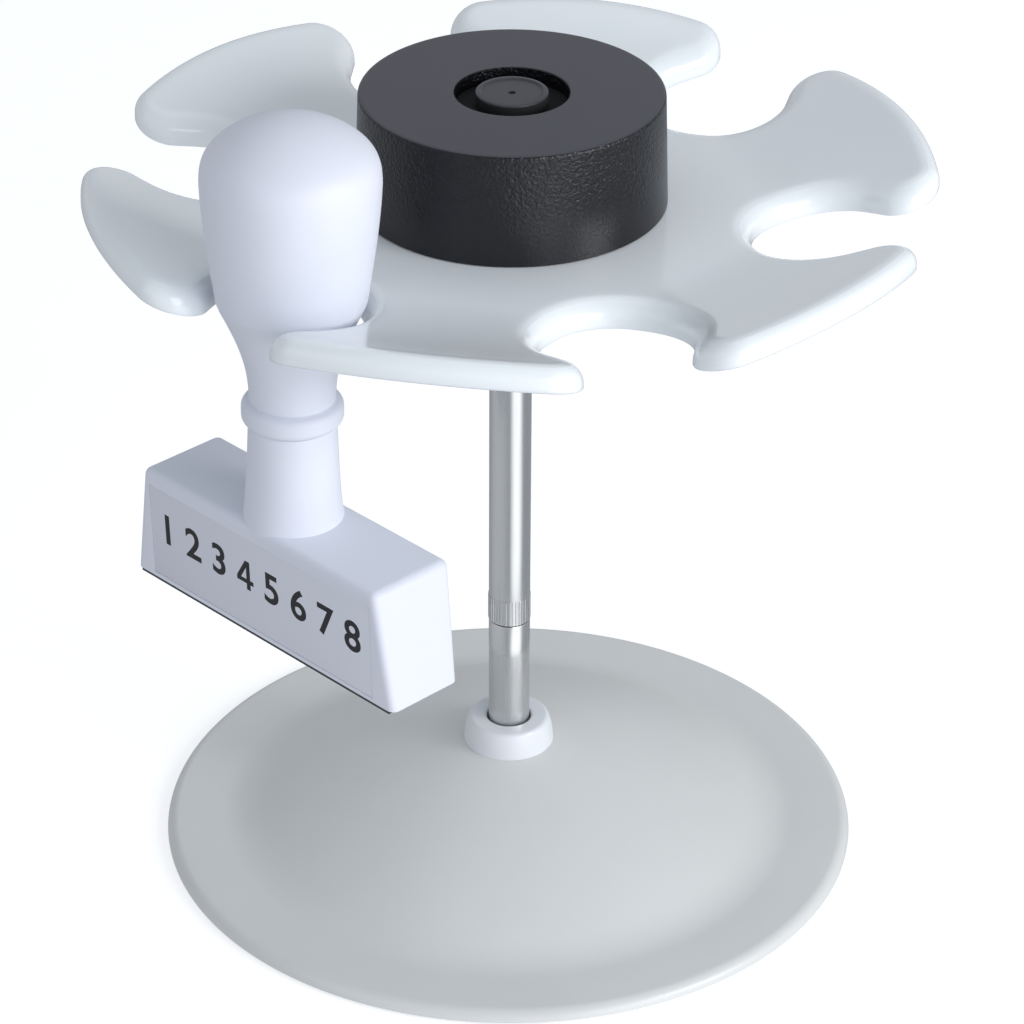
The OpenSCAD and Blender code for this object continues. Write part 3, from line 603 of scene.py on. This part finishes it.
# tool lines 0.5 mm apart; the real ones are finer
lines = add_node(tree, "Math", {0: radius.outputs["Value"], 1: math.tau / (0.5 * MM)}, operation="MULTIPLY")
wave = add_node(tree, "Math", {0: lines.outputs[0]}, operation="SINE")
on_top = add_node(tree, "Math", {0: axes.outputs["Z"], 1: HUB_TOP_FACE * MM}, operation="GREATER_THAN")
turned_relief = add_node(tree, "Bump", {"Height": wave.outputs[0], "Distance": 0.0015 * MM})
grained = shader.inputs["Normal"].links[0].from_socket
which = add_node(tree, "Mix", {"Factor": on_top.outputs[0]}, data_type="VECTOR")
tree.links.new(grained, which.inputs[4])
tree.links.new(turned_relief.outputs["Normal"], which.inputs[5])
tree.links.new(which.outputs[1], shader.inputs["Normal"])
# the grain is deep in the upper part and worn smooth towards the plate
depth = add_node(tree, "MapRange", {
    "Value": axes.outputs["Z"], "From Min": GRAIN_WORN * MM, "From Max": GRAIN_DEEP * MM,
    "To Min": 0.15, "To Max": 1.0})
tree.links.new(depth.outputs["Result"], grained.node.inputs["Strength"])
# the top is painted paler than the side: a painted sheen for the light that the upward turned face catches
tint = shader.inputs["Base Color"].links[0].from_socket
painted_top_sheen = add_node(tree, "Mix", {"Factor": on_top.outputs[0]}, data_type="RGBA")
tree.links.new(tint, painted_top_sheen.inputs[6])
painted_top_sheen.inputs[7].default_value = linear("#414148")
tree.links.new(painted_top_sheen.outputs[2], shader.inputs["Base Color"])

# ---------------------------------------------------------------- Hub cap and bushes
# A round cap closes the bore: a deep groove, painted black for the shade in it, round a small disc with a
# raised rim and the mark of the mould's gate in its middle. Two sintered bronze bushes turn on the rod.
cap = turned(
    "hub_cap_disc",
    [(0, 157.86), (0.55, 157.86), (0.75, 158.1), (5.5, 158.1), (5.7, 158.3), (5.85, 158.4), (6.35, 158.4),
     (6.55, 158.3), (6.6, 158.1), (6.6, 155.9), (6.8, 155.6), (10.4, 155.6), (10.4, 152.5), (8.4, 152.5),
     (8.4, 154.4), (0, 154.4)],
)
# ABS in a greyer black than the hub, from a finer mould; the groove carries painted shade, near-black, and
# is dull.
GROOVE_BELOW = 158.02
cap_black = moulded_plastic("cap_black_abs", "#3A3A3F", "#36363B", 0.34, 0.8, 0.004)
tree = cap_black.node_tree
shader = tree.nodes["Principled BSDF"]
axes = add_node(tree, "SeparateXYZ", {"Vector": add_node(tree, "TexCoord").outputs["Object"]})
# below the cap's top face the colour is painted near-black: painted shade in the groove
in_groove = add_node(tree, "Math", {0: axes.outputs["Z"], 1: GROOVE_BELOW * MM}, operation="LESS_THAN")
painted_groove_shade = add_node(tree, "Mix", {"Factor": in_groove.outputs[0]}, data_type="RGBA")
tree.links.new(shader.inputs["Base Color"].links[0].from_socket, painted_groove_shade.inputs[6])
painted_groove_shade.inputs[7].default_value = linear("#050506")
tree.links.new(painted_groove_shade.outputs[2], shader.inputs["Base Color"])
duller = add_node(tree, "Mix", {"Factor": in_groove.outputs[0]}, data_type="FLOAT")
tree.links.new(shader.inputs["Roughness"].links[0].from_socket, duller.inputs[2])
duller.inputs[3].default_value = 0.85
tree.links.new(duller.outputs[0], shader.inputs["Roughness"])
fit(cap, cap_black, "carousel", "hub_cap_plastic", "hub_cap")
# Sintered bronze, oil-filled: warm, dull and full of fine pores.
bronze = drawn_steel("bush_sintered_bronze", "#A98A55", 0.42, 0.25, 0.01, 1)
dress(bronze, "bush_lower", "bush_upper")

# ---------------------------------------------------------------- Stamp handle and ring
# The hanging stamp: a bulb handle and a bead ring turned to shape and moulded in white
# plastic with a touch of lavender, held together by a stud. It leans a little in its slot.
SLOT, SEAT_R, LEAN, SWIVEL = math.radians(228), 56.8, math.radians(0.9), math.radians(-3)
hang = (
    Matrix.Translation((SEAT_R * MM * math.cos(SLOT), SEAT_R * MM * math.sin(SLOT), PLATE_Z * MM))
    @ Matrix.Rotation(LEAN, 4, "Y")
    @ Matrix.Rotation(SLOT + SWIVEL, 4, "Z")
    @ Matrix.Translation((0, 0, -PLATE_Z * MM))
)
FOOT_OF_HANDLE, HANDLE_LONG, HANDLE_TOP, BULB, NECK = 118.92, 53.3, 172.2, 15.7, 7.7


def bezier(p, q, s, t, count):
    """Points of a cubic curve without its first one."""
    way = []
    for i in range(1, count + 1):
        u = i / count
        v = 1 - u
        way.append(tuple(
            v**3 * a + 3 * v * v * u * b + 3 * v * u * u * c + u**3 * d
            for a, b, c, d in zip(p, q, s, t)))
    return way


z0 = FOOT_OF_HANDLE
wide = z0 + 0.78 * HANDLE_LONG
CAP_R, SHOULDER = 20.0, math.radians(56)
cap_middle = HANDLE_TOP - CAP_R
cap_edge = (CAP_R * math.cos(SHOULDER), cap_middle + CAP_R * math.sin(SHOULDER))
over_shoulder = (cap_edge[0] + 4.8 * math.sin(SHOULDER), cap_edge[1] - 4.8 * math.cos(SHOULDER))
bulb_line = (
    [(2.7, z0), (NECK, z0)]
    + bezier((NECK, z0), (NECK, z0 + 6), (NECK + 1.6, z0 + 11), (BULB - 2.9, z0 + 18.2), 14)
    + bezier((BULB - 2.9, z0 + 18.2), (BULB - 2.3, z0 + 19.7), (BULB - 2.5, z0 + 19.4),
             (BULB - 2.4, z0 + 19.6), 2)
    + bezier((BULB - 2.4, z0 + 19.6), (BULB - 1.7, z0 + 25), (BULB - 0.3, wide - 8.6), (BULB, wide), 14)
    + bezier((BULB, wide), (BULB, wide + 3.6), over_shoulder, cap_edge, 14)
    + arc(0, cap_middle, CAP_R, 58, 90, 14)
    + [(0, z0 + 16), (2.7, z0 + 16)]
)
handle = turned("stamp_bulb_handle", bulb_line, steps=160, sharp=40)
handle.data.transform(hang)
# Polystyrene with a satin mould finish: a cool white, wide soft highlight.
stamp_white = moulded_plastic("stamp_white_satin_polystyrene", "#E0E3EC", "#DDE0EA", 0.56, 0.9, 0.003)
fit(handle, stamp_white, "stamp", "stamp_plastic", "stamp_handle")
RING_R, RING_Z, RING_HIGH = 9.1, 114.1, 4.8
BEAD = RING_HIGH * 0.32
bead = turned(
    "stamp_bead_ring",
    [(2.7, RING_Z + 0.03), (RING_R - 1.6, RING_Z + 0.03)]
    + arc(RING_R - BEAD, RING_Z + RING_HIGH * 0.34, BEAD, -80, 0, 8)
    + arc(RING_R - BEAD, RING_Z + RING_HIGH * 0.62, BEAD, 0, 80, 8)
    + [(RING_R - 1.5, 118.9), (2.7, 118.9)],
    steps=128, sharp=40,
)
bead.data.transform(hang)
fit(bead, stamp_white, "stamp", "stamp_plastic", "stamp_ring")

# ---------------------------------------------------------------- Stamp block
# The long block under the handle, moulded with draft: wider towards its foot at the ends,
# a little narrower at its sides. A round shaft rises from it; its underside is recessed for
# the cushion and its front for the index strip.
BLOCK_LONG, BLOCK_WIDE, BLOCK_HIGH, BLOCK_Z = 61.4, 18.4, 23.0, 72.2
bpy.ops.object.select_all(action="DESELECT")
bpy.ops.mesh.primitive_cube_add(
    size=1, location=(0, 0, (BLOCK_Z + BLOCK_HIGH / 2) * MM),
    scale=(BLOCK_WIDE * MM, BLOCK_LONG * MM, BLOCK_HIGH * MM))
block = bpy.context.object
block.name = block.data.name = "stamp_block_body"
bpy.ops.object.transform_apply(location=True, rotation=True, scale=True)
bpy.ops.object.mode_set(mode="EDIT")
mesh = bmesh.from_edit_mesh(block.data)
for f in mesh.faces:
    f.select_set(f.normal.z < -0.5)
bmesh.update_edit_mesh(block.data)
NARROWER, LONGER = 2.4, 7.6             # of the foot against the top
foot_scale = ((BLOCK_WIDE - NARROWER) / BLOCK_WIDE, (BLOCK_LONG + LONGER) / BLOCK_LONG, 1)
bpy.ops.transform.resize(value=foot_scale)
mesh = bmesh.from_edit_mesh(block.data)
bpy.ops.mesh.select_mode(type="EDGE")
for e in mesh.edges:
    e.select_set(max(v.co.z for v in e.verts) > (BLOCK_Z + 1) * MM)
bmesh.update_edit_mesh(block.data)
bpy.ops.mesh.bevel(offset=1.5 * MM, segments=7, affect="EDGES")
bpy.ops.object.mode_set(mode="OBJECT")


def cut_away(piece, location, size, turn=None):
    """Cuts a box out of a piece, as a recess."""
    bpy.ops.object.select_all(action="DESELECT")
    bpy.ops.mesh.primitive_cube_add(size=1)
    box = bpy.context.object
    box.data.transform(Matrix.Diagonal([s * MM for s in size] + [1]))
    box.data.transform(Matrix.Translation([c * MM for c in location]) @ (turn or Matrix.Identity(4)))
    bpy.context.view_layer.objects.active = piece
    cut = piece.modifiers.new("recess", "BOOLEAN")
    cut.operation, cut.solver, cut.object = "DIFFERENCE", "EXACT", box
    bpy.ops.object.modifier_apply(modifier=cut.name)
    bpy.data.objects.remove(box)


FRONT_LEAN = Matrix.Rotation(math.atan(1.2 / 23.0), 4, "Y")
front = Matrix.Translation((8.543 * MM, 0, 82.6 * MM)) @ FRONT_LEAN
cut_away(block, (0, 0, BLOCK_Z + 0.5), (13.5, 65.8, 3.0))
# the front recess is cut 0.6 mm deep, square to the leaning face
middle = front @ Vector((1.4 * MM, 0, 0))
cut_away(block, [c / MM for c in middle], (4.0, 58.8, 19.2), FRONT_LEAN)
bpy.context.view_layer.objects.active = block
block.select_set(True)
bpy.ops.object.shade_smooth_by_angle(angle=math.radians(30))
shaft = turned(
    "stamp_shaft",
    [(0, 93.2), (9.1, 93.2), (9.1, 95.25)]
    + bezier((9.09, 95.3), (8.7, 96.2), (8.2, 104.65), (7.9, 114.1), 14)
    + [(0, 114.1)],
    steps=128, sharp=40,
)
block = joined(block, [shaft])
block.data.transform(hang)
fit(block, stamp_white, "stamp", "stamp_plastic", "stamp_block")

# ---------------------------------------------------------------- Index strip
# A thin strip of coated card in the front recess with a row of plain black numbers, printed
# wide apart; the numbers only show how the strip is used.
bpy.ops.object.select_all(action="DESELECT")
bpy.ops.mesh.primitive_cube_add(size=1)
strip = bpy.context.object
strip.name = strip.data.name = "index_strip"
strip.data.transform(Matrix.Diagonal((0.5 * MM, 58.72 * MM, 19.12 * MM, 1)))
bpy.ops.object.mode_set(mode="EDIT")
bpy.ops.mesh.select_all(action="SELECT")
bpy.ops.mesh.bevel(offset=0.07 * MM, segments=2, affect="EDGES")
bpy.ops.object.mode_set(mode="OBJECT")
bpy.ops.object.shade_smooth_by_angle(angle=math.radians(30))
strip.data.transform(hang @ front @ Matrix.Translation((-0.33 * MM, 0, 0)))
# Coated card: the stamp's white a shade greyer, with the faint fibres of the card.
card = moulded_plastic("index_strip_coated_card", "#DADCE5", "#D7D9E3", 0.40, 0.4, 0.003)
fit(strip, card, "stamp", "label_card", "stamp_label")


# The 4 is drawn point by point, in parts of its height, because the typeface's own 4 closes up when bold.
FOUR = [
    [(0.06, 0), (0.22, 0), (0.22, 0.21), (0.36, 0.21), (0.36, 0.36), (0.22, 0.36), (0.22, 1), (0.03, 1),
     (-0.36, 0.35), (-0.36, 0.21), (0.06, 0.21)],
    [(-0.18, 0.36), (0.06, 0.36), (0.06, 0.76)],
]
PITCH, BOLDER = 7.06, 0.16              # millimetres
FIGURE_PART = 0.69                      # height of a figure in parts of the type size


def numerals(name, height, pitch, thick, place, mirrored=False):
    """A row of plain numbers as a mesh, their feet on the line y = 0 and centred on x = 0."""
    made = []
    for i, figure in enumerate("12345678"):
        bpy.ops.object.select_all(action="DESELECT")
        if figure == "4":
            outline = bpy.data.curves.new("four", "CURVE")
            outline.dimensions, outline.fill_mode = "2D", "BOTH"
            for path in FOUR:
                spline = outline.splines.new("POLY")
                spline.points.add(len(path) - 1)
                spline.use_cyclic_u = True
                for point, (x, y) in zip(spline.points, path):
                    point.co = (x * height * MM, y * height * MM, 0, 1)
            text = bpy.data.objects.new("four", outline)
            bpy.context.scene.collection.objects.link(text)
            bpy.context.view_layer.objects.active = text
            text.select_set(True)
        else:
            bpy.ops.object.text_add()
            text = bpy.context.object
            text.data.body = figure
            text.data.align_x = "CENTER"
            text.data.size = height * MM / FIGURE_PART
            text.data.offset = BOLDER * MM
        text.data.extrude = thick * MM / 2
        bpy.ops.object.convert(target="MESH")
        solid = bpy.context.object
        solid.data.transform(Matrix.Translation(((i - 3.5) * pitch * MM, 0, thick * MM / 2)))
        made.append(solid)
    row = joined(made[0], made[1:])
    row.name = row.data.name = name
    if mirrored:
        row.data.transform(Matrix.Diagonal((-1, 1, 1, 1)))
        row.data.flip_normals()
    row.data.transform(place)
    return row


# x to y, y to z, z to x
upright = Matrix(((0, 0, 1, 0), (1, 0, 0, 0), (0, 1, 0, 0), (0, 0, 0, 1)))
on_strip = hang @ front @ Matrix.Translation((-0.09 * MM, -0.1 * MM, -1.55 * MM)) @ upright
numbers = numerals("index_numbers", 6.1, PITCH, 0.03, on_strip)
# Screen-printed ink: a dense soft black, a little rough.
ink = moulded_plastic("index_numbers_screen_ink", "#0D0E11", "#111216", 0.6, 0.3, 0.003)
fit(numbers, ink, "stamp", "label_card")

# ---------------------------------------------------------------- Rubber and cushion
# Under the block: a foam cushion in its recess and over it the rubber plate that prints. Its
# edge shows as a thin dark line, and its face carries the numbers raised and mirrored.
bpy.ops.object.select_all(action="DESELECT")
bpy.ops.mesh.primitive_cube_add(size=1)
rubber = bpy.context.object
rubber.name = rubber.data.name = "printing_rubber"
rubber_size = Matrix.Diagonal((15.7 * MM, 66.6 * MM, 0.66 * MM, 1))
rubber.data.transform(Matrix.Translation((0, 0, 71.83 * MM)) @ rubber_size)
bpy.ops.object.mode_set(mode="EDIT")
bpy.ops.mesh.select_all(action="SELECT")
bpy.ops.mesh.bevel(offset=0.12 * MM, segments=3, affect="EDGES")
bpy.ops.object.mode_set(mode="OBJECT")
bpy.ops.object.shade_smooth_by_angle(angle=math.radians(30))
underneath = Matrix(((0, 1, 0, 0), (1, 0, 0, 0), (0, 0, -1, 0), (0, 0, 0, 1)))
face_down = Matrix.Translation((-2.8 * MM, 0, 71.55 * MM)) @ underneath
raised = numerals("raised_numbers", 5.7, PITCH, 0.35, face_down, mirrored=True)
rubber = joined(rubber, [raised])
rubber.data.transform(hang)
# Laser-engraved rubber: dark grey, quite dull, with a fine powdery grain.
rubber_grey = moulded_plastic("printing_rubber_grey", "#3A3B40", "#34353A", 0.75, 0.35, 0.008)
fit(rubber, rubber_grey, "stamp", "die_rubber", "stamp_die")
# Closed-cell foam: mid grey with cells about 0.6 mm across.
foam = moulded_plastic("cushion_closed_cell_foam", "#77797E", "#6C6E73", 0.9, 0.6, 0.08)
dress(foam, "stamp_cushion")
